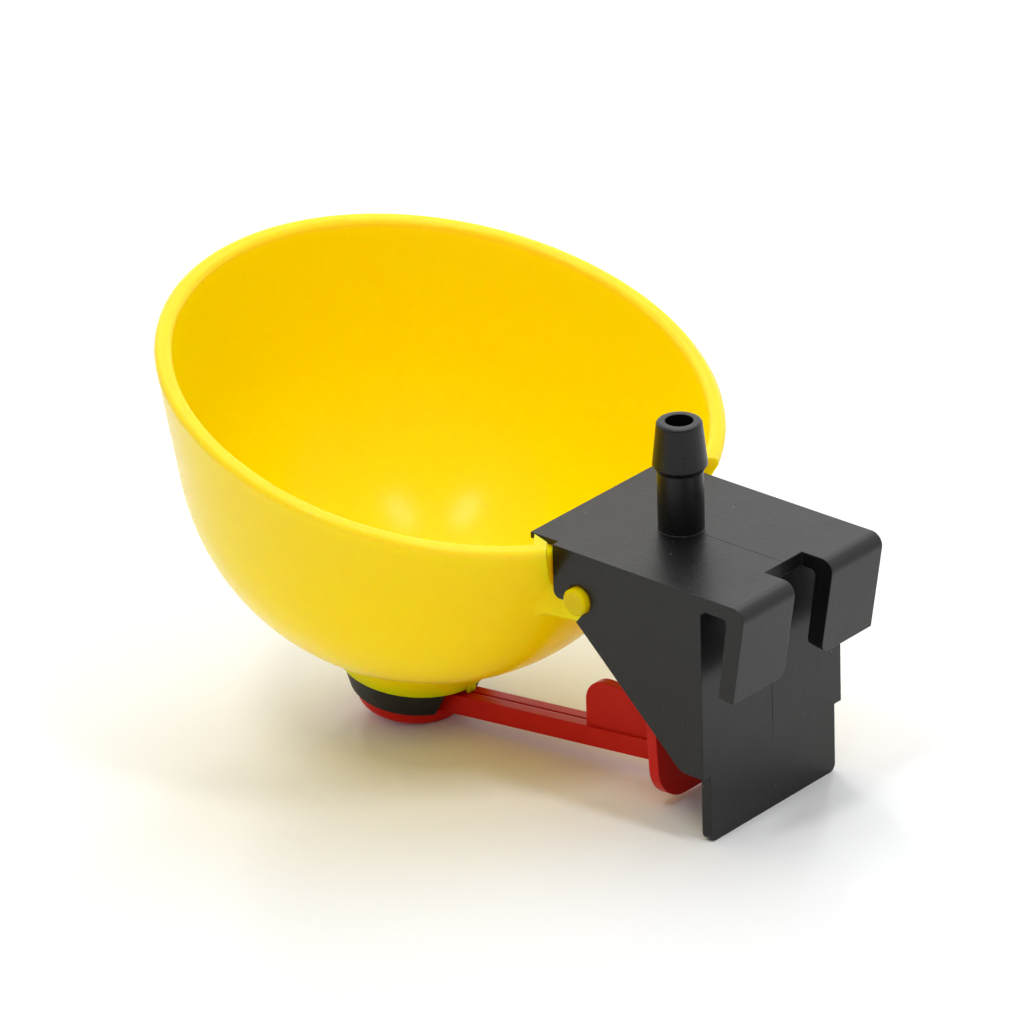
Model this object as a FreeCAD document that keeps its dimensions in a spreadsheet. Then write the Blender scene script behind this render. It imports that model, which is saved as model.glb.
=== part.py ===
import FreeCAD, Part
import math
import os
import re
import Sketcher

# Poultry drinking cup that hangs on a rail: a bracket with a hose barb, and a bowl that tips on two pegs.
# Millimetres and degrees. +X runs from the rail to the bowl, +Z is up and the XZ plane is the mirror plane.
# Heights are first measured from the bracket's top face, and every piece is then raised by datum_rise,
# so that the origin lies on the rear face of the bracket, where it meets the wall.
# Angles are positive where the front of the bowl is up.

SIZES = {
    # whole cup
    "datum_rise": 24.0,
    # bracket: plates
    "bracket_half": 18.5,
    "top_plate": 2.6,
    "top_front": 31.9,
    "rear_plate": 1.9,
    "rear_step": 34.5,
    "tab_half": 16.7,
    "tab_bottom": 47.2,
    "tab_corner": 1.4,
    "lip_front": 38.3,
    "lip_half": 17.0,
    "lip_plate": 1.1,
    # bracket: side walls
    "side_wall": 1.6,
    "side_front": 32.2,
    "side_tip": 9.8,
    "side_tip_rear": 29.6,
    "side_tip_corner": 1.3,
    "brace_top_x": 27.4,
    "brace_top_z": 13.1,
    "brace_foot": 4.9,
    "brace_corner": 3.0,
    # bracket: hook
    "hook_gap_top": 5.8,
    "hook_gap_foot": 3.6,
    "hook_tab_top": 3.9,
    "hook_tab_foot": 3.1,
    "hook_foot_rise": 0.5,
    "hook_depth": 18.2,
    "hook_bend": 2.2,
    "hook_inner_bend": 1.0,
    "hook_corner": 2.0,
    "hook_notch_half": 5.0,
    "hook_notch_front": 2.8,
    # bracket: hose barb and nozzle
    "inlet_x": 19.3,
    "barb_stem": 4.0,
    "barb_flare": 4.75,
    "barb_flare_z": 11.9,
    "barb_flare_rise": 1.0,
    "barb_tip": 3.9,
    "barb_height": 19.9,
    "barb_edge": 0.6,
    "barb_bore": 2.45,
    "nozzle_outer": 3.0,
    "nozzle_bore": 1.3,
    "nozzle_drop": 6.0,
    "nozzle_throat": 3.4,
    # hinge
    "pivot_x": 26.7,
    "pivot_z": 8.8,
    "peg_radius": 2.4,
    "peg_play": 0.3,
    "peg_end": 20.0,
    "peg_chamfer": 0.4,
    "mouth_half": 2.15,
    "mouth_angle": 52.0,
    "closing_angle": 7.0,
    # bowl
    "ball_x": 75.3,
    "ball_z": 2.3,
    "ball_radius": 44.4,
    "ball_wall": 2.2,
    "bowl_tilt": 15.2,
    "cone_lean": 18.5,
    "inner_cone_lean": 16.5,
    "rim_rise": 10.7,
    "rim_edge": 1.1,
    "shoulder_reach": 2.4,
    "shoulder_half": 22.9,
    "bowl_gap": 0.5,
    "lip_gap": 0.3,
    "lip_room": 3.6,
    # bowl: neck
    "neck_play": 0.35,
    "neck_wall": 1.9,
    "neck_rear": 12.5,
    "neck_rear_top": 4.9,
    "neck_into_ball": 10.6,
    "neck_floor_rear": 12.6,
    "neck_floor_slope": 6.6,
    "neck_edge": 0.8,
    "neck_blend": 4.0,
    # bowl: boss and drain
    "boss_tilt": 7.5,
    "boss_radius": 13.4,
    "boss_drop": 2.5,
    "boss_draft": 5.0,
    "drain_radius": 4.2,
    "nib_half": 0.9,
    "nib_drop": 0.8,
    "nib_proud": 0.2,
    # valve pad
    "pad_radius": 4.6,
    "pad_thick": 2.0,
    "pad_sink": 1.2,
    "pad_play": 0.05,
    "seat_wall": 1.4,
    "valve_gap": 0.15,
    # drain seal
    "seal_top": 12.9,
    "seal_foot": 10.9,
    "seal_height": 5.5,
    "seal_edge": 0.7,
    "seal_play": 0.05,
    "seal_slot_half": 5.0,
    # lever: plug and stud
    "hub_radius": 8.0,
    "plug_radius": 9.6,
    "plug_thick": 3.0,
    "plug_edge": 1.5,
    "hub_gap": 0.1,
    "stud_play": 0.2,
    "stud_head": 4.9,
    "stud_head_thick": 1.2,
    "stud_head_gap": 0.1,
    # lever: arm, web and tongue
    "arm_half": 2.4,
    "arm_height": 3.7,
    "arm_foot_z": 44.4,
    "arm_lift": 0.3,
    "groove_width": 0.5,
    "groove_depth": 0.45,
    "web_thick": 1.8,
    "web_front": 40.1,
    "web_top": 34.2,
    "web_corner": 4.5,
    "tongue_x": 15.85,
    "tongue_lean": 3.2,
    "tongue_half": 11.7,
    "tongue_thick": 2.1,
    "tongue_top": 28.5,
    "tongue_foot": 47.3,
    "tongue_foot_corner": 6.5,
    "tongue_top_corner": 3.0,
    # return spring
    "spring_z": 36.5,
    "spring_radius": 4.0,
    "spring_wire": 0.35,
    "spring_turns": 6.0,
    "spring_seat_gap": 0.3,
    "spigot_radius": 3.2,
    "spigot_length": 2.6,
    "spigot_edge": 0.5,
}

doc = FreeCAD.newDocument("drinking_cup")
sheet = doc.addObject("Spreadsheet::Sheet", "sizes")
for row, (alias, value) in enumerate(SIZES.items(), start=1):
    sheet.set(f"A{row}", str(value))
    sheet.setAlias(f"A{row}", alias)
doc.recompute()


def cells(text):
    """An expression in which every size name points at its cell."""
    return re.sub(r"[a-z_]+", lambda word: "sizes." + word[0] if word[0] in SIZES else word[0], text)


def value_of(text):
    """The number that a size expression gives; the angles in it are degrees."""
    numbers = re.sub(r"[a-z_]+", lambda word: repr(SIZES[word[0]]) if word[0] in SIZES else word[0], text)
    return FreeCAD.Units.Quantity(re.sub(r"(sin|cos|tan)\(", rf"\1({math.pi / 180} * ", numbers)).Value


def bind(thing, **properties):
    for name, text in properties.items():
        thing.setExpression(name, cells(text))


def new_body(name, rise="datum_rise"):
    body = doc.addObject("PartDesign::Body", name)
    body.Label = name
    body.setExpression("Placement.Base.z", cells(rise))
    return body


def origin_plane(body, role):
    return next(feature for feature in body.Origin.OriginFeatures if feature.Role == role)


def new_sketch(body, name, plane="XZ_Plane", x="0", y="0", z="0", turn="0", turn_axis=(0, 0, 1)):
    """A sketch on one of the body's own planes, shifted and turned in that plane's axes."""
    sketch = body.newObject("Sketcher::SketchObject", name)
    sketch.AttachmentSupport = [(origin_plane(body, plane), "")]
    sketch.MapMode = "FlatFace"
    turning = FreeCAD.Rotation(FreeCAD.Vector(*turn_axis), 1)
    sketch.AttachmentOffset = FreeCAD.Placement(FreeCAD.Vector(0, 0, 0), turning)
    for axis, text in (("x", x), ("y", y), ("z", z)):
        sketch.setExpression(f"AttachmentOffset.Base.{axis}", cells(text))
    sketch.setExpression("AttachmentOffset.Rotation.Angle", cells(turn))
    return sketch


def fix_point(sketch, geometry, end, x, y, label):
    """Ties one point of a sketch to the two sizes that place it."""
    for kind, letter, text in (("DistanceX", "x", x), ("DistanceY", "y", y)):
        index = sketch.addConstraint(Sketcher.Constraint(kind, -1, 1, geometry, end, value_of(text)))
        sketch.renameConstraint(index, f"{letter}_{label}")
        sketch.setExpression(f"Constraints.{letter}_{label}", cells(text))


def outline(sketch, corners):
    """A closed outline of straight edges through corners, each given by two size expressions."""
    points = [FreeCAD.Vector(value_of(x), value_of(y), 0) for x, y in corners]
    count = len(points)
    for index in range(count):
        sketch.addGeometry(Part.LineSegment(points[index], points[(index + 1) % count]), False)
    for index in range(count):
        sketch.addConstraint(Sketcher.Constraint("Coincident", index, 2, (index + 1) % count, 1))
    for index, (x, y) in enumerate(corners):
        fix_point(sketch, index, 1, x, y, f"corner_{index}")


def rectangle(sketch, left, right, bottom, top):
    outline(sketch, [(left, bottom), (right, bottom), (right, top), (left, top)])


def circle(sketch, radius, x="0", y="0"):
    centre = FreeCAD.Vector(value_of(x), value_of(y), 0)
    disc = Part.Circle(centre, FreeCAD.Vector(0, 0, 1), value_of(radius))
    index = sketch.addGeometry(disc, False)
    fix_point(sketch, index, 3, x, y, "centre")
    constraint = sketch.addConstraint(Sketcher.Constraint("Radius", index, value_of(radius)))
    sketch.renameConstraint(constraint, "radius")
    sketch.setExpression("Constraints.radius", cells(radius))


def bowl_section(sketch, radius, lean, flares):
    """Half section of a bowl: an arc about the sketch's origin, a flank that leans out from it and a rounded rim."""
    ball = value_of(radius)
    angle = math.radians(value_of(lean))
    bend = value_of("rim_edge")
    side = -1 if flares else 1
    out = FreeCAD.Vector(math.cos(angle), -math.sin(angle), 0)
    rise = value_of("rim_rise")
    centre_x = (ball - side * bend + (rise - bend) * math.sin(angle)) / math.cos(angle)
    centre = FreeCAD.Vector(centre_x, rise - bend, 0)
    rim = FreeCAD.Vector(centre_x, rise, 0)
    lid_rise = 2 * rise if flares else rise
    lid_edge = FreeCAD.Vector(centre_x, lid_rise, 0)
    axis_top = FreeCAD.Vector(0, lid_rise, 0)
    bottom = FreeCAD.Vector(0, -ball, 0)
    upward = FreeCAD.Vector(0, 0, 1)
    round_part = Part.Circle(FreeCAD.Vector(0, 0, 0), upward, ball)
    rim_part = Part.Circle(centre, upward, bend)
    ends = (math.pi / 2, math.pi - angle) if flares else (-angle, math.pi / 2)
    foot, head = (2, 1) if flares else (1, 2)
    arc = sketch.addGeometry(Part.ArcOfCircle(round_part, -math.pi / 2, -angle), False)
    flank = sketch.addGeometry(Part.LineSegment(out * ball, centre + out * side * bend), False)
    edge = sketch.addGeometry(Part.ArcOfCircle(rim_part, *ends), False)
    lid = sketch.addGeometry(Part.LineSegment(lid_edge, axis_top), False)
    core = sketch.addGeometry(Part.LineSegment(axis_top, bottom), False)
    sketch.addConstraint(Sketcher.Constraint("Coincident", arc, 3, -1, 1))
    sketch.addConstraint(Sketcher.Constraint("PointOnObject", arc, 1, -2))
    sketch.addConstraint(Sketcher.Constraint("Tangent", arc, 2, flank, 1))
    sketch.addConstraint(Sketcher.Constraint("Tangent", flank, 2, edge, foot))
    sketch.addConstraint(Sketcher.Constraint("Vertical", edge, 3, edge, head))
    if flares:
        throat = sketch.addGeometry(Part.LineSegment(rim, lid_edge), False)
        sketch.addConstraint(Sketcher.Constraint("Coincident", edge, head, throat, 1))
        sketch.addConstraint(Sketcher.Constraint("Vertical", throat))
        sketch.addConstraint(Sketcher.Constraint("Coincident", throat, 2, lid, 1))
        height = sketch.addConstraint(Sketcher.Constraint("DistanceY", throat, 1, throat, 2, rise))
        sketch.renameConstraint(height, "throat")
        sketch.setExpression("Constraints.throat", cells("rim_rise"))
    else:
        sketch.addConstraint(Sketcher.Constraint("Coincident", edge, head, lid, 1))
    sketch.addConstraint(Sketcher.Constraint("Horizontal", lid))
    sketch.addConstraint(Sketcher.Constraint("Coincident", lid, 2, core, 1))
    sketch.addConstraint(Sketcher.Constraint("PointOnObject", lid, 2, -2))
    sketch.addConstraint(Sketcher.Constraint("Coincident", core, 2, arc, 1))
    named = (
        ("radius", Sketcher.Constraint("Radius", arc, ball), radius),
        ("bend", Sketcher.Constraint("Radius", edge, bend), "rim_edge"),
        ("rise", Sketcher.Constraint("DistanceY", -1, 1, edge, head, rise), "rim_rise"),
        ("flank", Sketcher.Constraint("Angle", flank, math.pi / 2 - angle), f"90 - {lean}"),
    )
    for name, constraint, text in named:
        sketch.renameConstraint(sketch.addConstraint(constraint), name)
        sketch.setExpression(f"Constraints.{name}", cells(text))


def pad(body, name, sketch, length, midplane=False, reverse=False):
    feature = body.newObject("PartDesign::Pad", name)
    feature.Profile = sketch
    feature.Midplane = midplane
    feature.Reversed = reverse
    bind(feature, Length=length)
    return feature


def pocket(body, name, sketch, length):
    """A cut that runs evenly to both sides of its sketch."""
    feature = body.newObject("PartDesign::Pocket", name)
    feature.Profile = sketch
    feature.Midplane = True
    bind(feature, Length=length)
    return feature


def revolve(body, name, sketch, cut=False):
    """A full turn about the sketch's own upright axis."""
    feature = body.newObject("PartDesign::Groove" if cut else "PartDesign::Revolution", name)
    feature.Profile = sketch
    feature.ReferenceAxis = (sketch, ["V_Axis"])
    feature.Angle = 360
    return feature


def mirror(body, name, feature):
    """The same feature on the other side of the mirror plane."""
    doc.recompute()
    copy = body.newObject("PartDesign::Mirrored", name)
    copy.Originals = [feature]
    copy.MirrorPlane = (origin_plane(body, "XZ_Plane"), [""])
    body.Tip = copy
    return copy


def edges_where(feature, test):
    """Names of the edges of a feature whose middle, direction and length pass a test."""
    names = []
    for index, edge in enumerate(feature.Shape.Edges, start=1):
        first, last = edge.ParameterRange
        middle = edge.valueAt((first + last) / 2)
        along = edge.valueAt(first + (last - first) * 0.51) - edge.valueAt(first + (last - first) * 0.49)
        if along.Length > 0 and test(middle, along.normalize(), edge.Length):
            names.append(f"Edge{index}")
    return names


def dress(body, kind, name, base, test, size):
    """A fillet or a chamfer on the edges of the last feature that pass a test."""
    doc.recompute()
    feature = body.newObject(f"PartDesign::{kind}", name)
    feature.Base = (base, edges_where(base, test))
    bind(feature, **{"Radius" if kind == "Fillet" else "Size": size})
    return feature


# top of the valve pad: it meets the nozzle when the bowl has tipped by its closing angle
PAD_TOP_X = (
    "pivot_x - (pivot_x - inlet_x) * cos(closing_angle)"
    " - (pivot_z - nozzle_drop - valve_gap) * sin(closing_angle)"
)
PAD_TOP_Z = (
    "(pivot_z - nozzle_drop - valve_gap) * cos(closing_angle) - pivot_z"
    " - (pivot_x - inlet_x) * sin(closing_angle)"
)
# how far below the bowl's centre its floor lies under the edge of the stud's head
FLOOR_DEPTH = "sqrt((ball_radius - ball_wall) * (ball_radius - ball_wall) - stud_head * stud_head)"
# depths along the tilted axis of boss, seal and plug, from the bowl's centre
BOSS_FACE = "(ball_radius + boss_drop)"
SEAL_FOOT = f"({BOSS_FACE} + seal_height)"
PLUG_FOOT = f"({SEAL_FOOT} + plug_thick)"
# front of the neck, inside the bowl's wall
NECK_FRONT = "(ball_x - ball_radius + neck_into_ball)"
# distance of the middle of the plug's foot from the wall
PLUG_X = f"(ball_x + {PLUG_FOOT} * sin(boss_tilt))"
# fall of the lever's arm for each millimetre from the tongue towards the plug
ARM_FALL = f"(({PLUG_FOOT} * cos(boss_tilt) - ball_z - arm_lift - arm_foot_z) / ({PLUG_X} - tongue_x))"


def arm_foot(x):
    """Height of the underside of the lever's arm at a distance x from the wall."""
    return f"-arm_foot_z - {ARM_FALL} * ({x} - tongue_x)"


def neck_foot(x):
    """Height of the neck's underside at a distance x from the wall."""
    return f"-neck_floor_rear - ({x} - neck_rear) * tan(neck_floor_slope)"


def near(first, second):
    return abs(first - second) < 0.05


def boss_depth(point):
    """How far a point lies from the bowl's centre along the axis of boss, seal and plug."""
    tilt = math.radians(value_of("boss_tilt"))
    return (point.x - value_of("ball_x")) * math.sin(tilt) - (point.z - value_of("ball_z")) * math.cos(tilt)


def make_bracket():
    body = new_body("bracket")
    # hook, top plate and rear plate in one side view
    profile = new_sketch(body, "hook_and_plates_outline")
    outline(
        profile,
        [
            ("top_front", "0"),
            ("-hook_gap_top - hook_tab_top", "0"),
            ("-hook_gap_foot - hook_tab_foot", "-hook_depth"),
            ("-hook_gap_foot", "-hook_depth + hook_foot_rise"),
            ("-hook_gap_top", "-top_plate"),
            ("0", "-top_plate"),
            ("0", "-rear_step"),
            ("rear_plate", "-rear_step"),
            ("rear_plate", "-top_plate"),
            ("top_front", "-top_plate"),
        ],
    )
    plates = pad(body, "hook_and_plates", profile, "2 * bracket_half", midplane=True)
    hook_rear = -value_of("hook_gap_top + hook_tab_top")
    hook_inside = -value_of("hook_gap_top")
    ceiling = -value_of("top_plate")
    bend = dress(
        body, "Fillet", "hook_bend_outside", plates,
        lambda middle, along, length: abs(along.y) > 0.9 and near(middle.x, hook_rear) and near(middle.z, 0),
        "hook_bend",
    )
    inner_bend = dress(
        body, "Fillet", "hook_bend_inside", bend,
        lambda middle, along, length: abs(along.y) > 0.9 and near(middle.z, ceiling)
        and (near(middle.x, hook_inside) or near(middle.x, 0)),
        "hook_inner_bend",
    )
    # square notch between the two hanging tabs
    notch = new_sketch(body, "hook_notch_outline", plane="XY_Plane")
    rectangle(
        notch, "-2 * (hook_gap_top + hook_tab_top)", "-hook_notch_front", "-hook_notch_half", "hook_notch_half"
    )
    hook_notch = pocket(body, "hook_notch", notch, "4 * hook_depth")
    half_notch = value_of("hook_notch_half")
    tab_foot = -value_of("hook_depth - hook_foot_rise / 2")
    corners = dress(
        body, "Fillet", "hook_tab_corners", hook_notch,
        lambda middle, along, length: abs(along.x) > 0.9 and near(abs(middle.y), half_notch)
        and near(middle.z, tab_foot),
        "hook_corner",
    )
    # thin lip over the bowl's rear rim
    lip = new_sketch(body, "lip_outline")
    rectangle(lip, "top_front - top_plate", "lip_front", "-lip_plate", "0")
    pad(body, "lip", lip, "2 * lip_half", midplane=True)
    # side walls, with the open notch in which the peg snaps
    side = new_sketch(body, "side_wall_outline", z="bracket_half - side_wall")
    outline(
        side,
        [
            ("0", "0"),
            ("side_front", "0"),
            ("side_front", "-side_tip"),
            ("side_tip_rear", "-side_tip"),
            ("brace_top_x", "-brace_top_z"),
            ("brace_foot", "-rear_step"),
            ("0", "-rear_step"),
        ],
    )
    wall = pad(body, "side_wall_far", side, "side_wall")
    both_walls = mirror(body, "side_walls", wall)
    front = value_of("side_front")
    tip = -value_of("side_tip")
    foot = value_of("brace_foot")
    step = -value_of("rear_step")
    tip_round = dress(
        body, "Fillet", "side_wall_tip_corner", both_walls,
        lambda middle, along, length: abs(along.y) > 0.9 and near(middle.x, front) and near(middle.z, tip),
        "side_tip_corner",
    )
    foot_round = dress(
        body, "Fillet", "side_wall_foot_corner", tip_round,
        lambda middle, along, length: abs(along.y) > 0.9 and near(middle.x, foot) and near(middle.z, step),
        "brace_corner",
    )
    hole = new_sketch(body, "peg_hole_outline", x="pivot_x", y="-pivot_z")
    circle(hole, "peg_radius + peg_play")
    peg_holes = pocket(body, "peg_holes", hole, "4 * bracket_half")
    mouth = new_sketch(body, "peg_mouth_outline", x="pivot_x", y="-pivot_z", turn="-mouth_angle")
    rectangle(mouth, "0", "4 * peg_radius", "-mouth_half", "mouth_half")
    peg_mouths = pocket(body, "peg_mouths", mouth, "4 * bracket_half")
    # lower tab of the rear plate
    tab = new_sketch(body, "lower_tab_outline", plane="YZ_Plane")
    rectangle(tab, "-tab_half", "tab_half", "-tab_bottom", "-rear_step + rear_plate")
    lower_tab = pad(body, "lower_tab", tab, "rear_plate")
    tab_foot_z = -value_of("tab_bottom")
    tab_rounds = dress(
        body, "Fillet", "lower_tab_corners", lower_tab,
        lambda middle, along, length: abs(along.x) > 0.9 and near(middle.z, tab_foot_z),
        "tab_corner",
    )
    # hose barb above the plate and nozzle below it, with one bore through both
    barb = new_sketch(body, "barb_outline", x="inlet_x")
    outline(
        barb,
        [
            ("0", "-nozzle_drop"),
            ("nozzle_outer", "-nozzle_drop"),
            ("nozzle_outer", "-top_plate / 2"),
            ("barb_stem", "-top_plate / 2"),
            ("barb_stem", "barb_flare_z - barb_flare_rise"),
            ("barb_flare", "barb_flare_z"),
            ("barb_tip", "barb_height"),
            ("0", "barb_height"),
        ],
    )
    inlet = revolve(body, "barb_and_nozzle", barb)
    barb_top = value_of("barb_height")
    barb_edge = dress(
        body, "Fillet", "barb_tip_edge", inlet,
        lambda middle, along, length: near(middle.z, barb_top) and length > 1,
        "barb_edge",
    )
    bore = new_sketch(body, "bore_outline", x="inlet_x")
    outline(
        bore,
        [
            ("0", "-2 * nozzle_drop"),
            ("nozzle_bore", "-2 * nozzle_drop"),
            ("nozzle_bore", "-nozzle_throat - barb_bore + nozzle_bore"),
            ("barb_bore", "-nozzle_throat"),
            ("barb_bore", "2 * barb_height"),
            ("0", "2 * barb_height"),
        ],
    )
    revolve(body, "inlet_bore", bore, cut=True)
    # spigot that centres the spring
    spigot = new_sketch(body, "rear_spigot_outline", plane="YZ_Plane", y="-spring_z")
    circle(spigot, "spigot_radius")
    rear_spigot = pad(body, "rear_spigot", spigot, "rear_plate + spigot_length")
    spigot_end = value_of("rear_plate + spigot_length")
    dress(
        body, "Chamfer", "rear_spigot_edge", rear_spigot,
        lambda middle, along, length: near(middle.x, spigot_end) and length > 1,
        "spigot_edge",
    )
    return body


def side_wall_room(body, wall, from_y):
    """Cuts the bowl back behind its bracket on both sides, slanted round the side walls' front edges."""
    rear = f"side_front - shoulder_reach + {wall}"
    front = f"side_front + bowl_gap + {wall}"
    corners = [
        ("-side_front", from_y),
        (front, from_y),
        (front, f"bracket_half + bowl_gap + {wall} / 3"),
        (rear, f"shoulder_half + {wall} / 3"),
        (rear, "2 * ball_radius"),
        ("-side_front", "2 * ball_radius"),
    ]
    for side, sign in (("near", ""), ("far", "-")):
        room = new_sketch(body, f"room_outline_{side}", plane="XY_Plane")
        outline(room, [(x, f"{sign}({y})") for x, y in corners])
        pocket(body, f"side_wall_room_{side}", room, "4 * ball_radius")


def make_bowl_core():
    """The room inside the bowl: what the mould's core fills."""
    core = new_body("bowl_core", rise="0")
    inside = new_sketch(core, "bowl_inside_outline", x="ball_x", y="ball_z", turn="bowl_tilt")
    bowl_section(inside, "ball_radius - ball_wall", "inner_cone_lean", flares=True)
    revolve(core, "bowl_inside", inside)
    side_wall_room(core, "ball_wall", "0")
    channel = new_sketch(core, "channel_outline")
    outline(
        channel,
        [
            ("neck_rear + neck_wall", f"neck_wall {neck_foot('neck_rear + neck_wall')}"),
            (f"{NECK_FRONT} + ball_wall", f"neck_wall {neck_foot(f'{NECK_FRONT} + ball_wall')}"),
            (f"{NECK_FRONT} + ball_wall", "ball_radius / 2"),
            ("neck_rear + neck_wall", "ball_radius / 2"),
        ],
    )
    pad(core, "channel", channel, "2 * (bracket_half - side_wall - neck_play - neck_wall)", midplane=True)
    seat = new_sketch(core, "seat_outline", x=PAD_TOP_X, y=PAD_TOP_Z, turn="closing_angle")
    rectangle(seat, "0", "pad_radius + seat_wall", "-neck_floor_rear", "pad_sink - pad_thick")
    revolve(core, "seat_ring", seat, cut=True)
    recess = new_sketch(core, "recess_outline", x=PAD_TOP_X, y=PAD_TOP_Z, turn="closing_angle")
    rectangle(recess, "0", "pad_radius + pad_play", "-pad_thick", "pad_sink")
    revolve(core, "pad_recess", recess)
    drain = new_sketch(core, "drain_outline", x="ball_x", y="ball_z", turn="boss_tilt")
    rectangle(drain, "0", "drain_radius", f"-{SEAL_FOOT}", "-ball_radius / 2")
    revolve(core, "drain_hole", drain)
    doc.recompute()
    return core


def make_bowl():
    """Bowl, neck, boss and pegs in one moulding: the outer form less its core."""
    core = make_bowl_core()
    body = new_body("bowl")
    shell = new_sketch(body, "bowl_outline", x="ball_x", y="ball_z", turn="bowl_tilt")
    bowl_section(shell, "ball_radius", "cone_lean", flares=False)
    revolve(body, "bowl_round", shell)
    neck = new_sketch(body, "neck_outline")
    outline(
        neck,
        [
            ("neck_rear", "-neck_floor_rear"),
            (NECK_FRONT, neck_foot(NECK_FRONT)),
            (NECK_FRONT, "-top_plate - lip_gap"),
            ("side_front + lip_gap", "-top_plate - lip_gap"),
            ("neck_rear", "-neck_rear_top"),
        ],
    )
    neck_block = pad(body, "neck", neck, "2 * (bracket_half - side_wall - neck_play)", midplane=True)
    neck_side = value_of("bracket_half - side_wall - neck_play")
    floor_rear = -value_of("neck_floor_rear")
    neck_rear = value_of("neck_rear")
    dress(
        body, "Fillet", "neck_edges", neck_block,
        lambda middle, along, length: near(abs(middle.y), neck_side) and middle.z < floor_rear
        and abs(along.x) > 0.9 or near(middle.x, neck_rear) and near(middle.z, floor_rear),
        "neck_edge",
    )
    boss = new_sketch(body, "boss_outline", x="ball_x", y="ball_z", turn="boss_tilt")
    outline(
        boss,
        [
            ("0", f"-{BOSS_FACE}"),
            ("boss_radius", f"-{BOSS_FACE}"),
            (f"boss_radius + ({BOSS_FACE} - ball_radius / 2) * tan(boss_draft)", "-ball_radius / 2"),
            ("0", "-ball_radius / 2"),
        ],
    )
    revolve(body, "boss", boss)
    nib = new_sketch(body, "nib_outline", x="ball_x", y="ball_z", turn="boss_tilt")
    rectangle(
        nib, "-boss_radius - nib_proud", "-seal_top - seal_play", f"-{BOSS_FACE} - nib_drop", "-ball_radius"
    )
    nib_block = pad(body, "arm_locating_nib", nib, "2 * nib_half", midplane=True)
    pivot = value_of("pivot_x")
    lowest = -value_of("ball_radius / 2")
    longest = value_of("ball_radius")
    dress(
        body, "Fillet", "neck_blend", nib_block,
        lambda middle, along, length: pivot < middle.x and lowest < middle.z < 0 and length < longest,
        "neck_blend",
    )
    side_wall_room(body, "0", "bracket_half - side_wall - neck_play / 2")
    under = new_sketch(body, "room_under_bracket")
    outline(
        under,
        [
            ("-neck_rear", "-neck_rear_top"),
            ("neck_rear", "-neck_rear_top"),
            ("side_front + lip_gap", "-top_plate - lip_gap"),
            ("side_front + lip_gap", "-lip_plate - lip_gap"),
            ("lip_front + bowl_gap", "-lip_plate - lip_gap"),
            ("lip_front + bowl_gap", "2 * ball_radius"),
            ("-neck_rear", "2 * ball_radius"),
        ],
    )
    pocket(body, "room_for_lip", under, "2 * (lip_half + bowl_gap)")
    beside = new_sketch(body, "room_beside_lip")
    rectangle(
        beside, "side_front - shoulder_reach", "lip_front + bowl_gap", "-lip_plate - lip_gap", "2 * ball_radius"
    )
    pocket(body, "room_for_lip_corners", beside, "2 * (lip_half + lip_room)")
    pegs = new_sketch(body, "pegs_outline", x="pivot_x", y="-pivot_z")
    circle(pegs, "peg_radius")
    peg_pad = pad(body, "pegs", pegs, "2 * peg_end", midplane=True)
    peg_end = value_of("peg_end")
    peg_round = 2 * math.pi * value_of("peg_radius")
    dress(
        body, "Chamfer", "peg_ends", peg_pad,
        lambda middle, along, length: near(abs(middle.y), peg_end) and near(length, peg_round),
        "peg_chamfer",
    )
    hollow = body.newObject("PartDesign::Boolean", "hollow")
    hollow.Type = "Cut"
    hollow.addObject(core)
    return body


def arm_bar(sketch, rear, front, low, high):
    """A bar along the lever's arm, between two heights over the arm's underside."""
    outline(
        sketch,
        [
            (rear, f"{low} {arm_foot(rear)}"),
            (front, f"{low} {arm_foot(front)}"),
            (front, f"{high} {arm_foot(front)}"),
            (rear, f"{high} {arm_foot(rear)}"),
        ],
    )


def make_valve_pad():
    """Rubber disc in the neck's seat ring, square to the nozzle when the bowl is full."""
    body = new_body("valve_pad")
    profile = new_sketch(body, "pad_outline", x=PAD_TOP_X, y=PAD_TOP_Z, turn="closing_angle")
    rectangle(profile, "0", "pad_radius", "-pad_thick", "0")
    revolve(body, "pad_disc", profile)
    return body


def make_drain_seal():
    """Rubber ring on the plug's hub, slotted for the lever's arm."""
    body = new_body("drain_seal")
    profile = new_sketch(body, "seal_outline", x="ball_x", y="ball_z", turn="boss_tilt")
    outline(
        profile,
        [
            ("hub_radius + seal_play", f"-{BOSS_FACE}"),
            ("seal_top", f"-{BOSS_FACE}"),
            ("seal_foot", f"-{SEAL_FOOT}"),
            ("hub_radius + seal_play", f"-{SEAL_FOOT}"),
        ],
    )
    ring = revolve(body, "seal_ring", profile)
    foot_depth = value_of(SEAL_FOOT)
    foot_length = 2 * math.pi * value_of("seal_foot")
    dress(
        body, "Fillet", "seal_edge", ring,
        lambda middle, along, length: near(boss_depth(middle), foot_depth) and near(length, foot_length),
        "seal_edge",
    )
    slot = new_sketch(body, "arm_slot_outline")
    arm_bar(slot, "web_front", PLUG_X, "-seal_height", "arm_height + seal_height")
    pocket(body, "arm_slot", slot, "2 * seal_slot_half")
    return body


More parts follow.
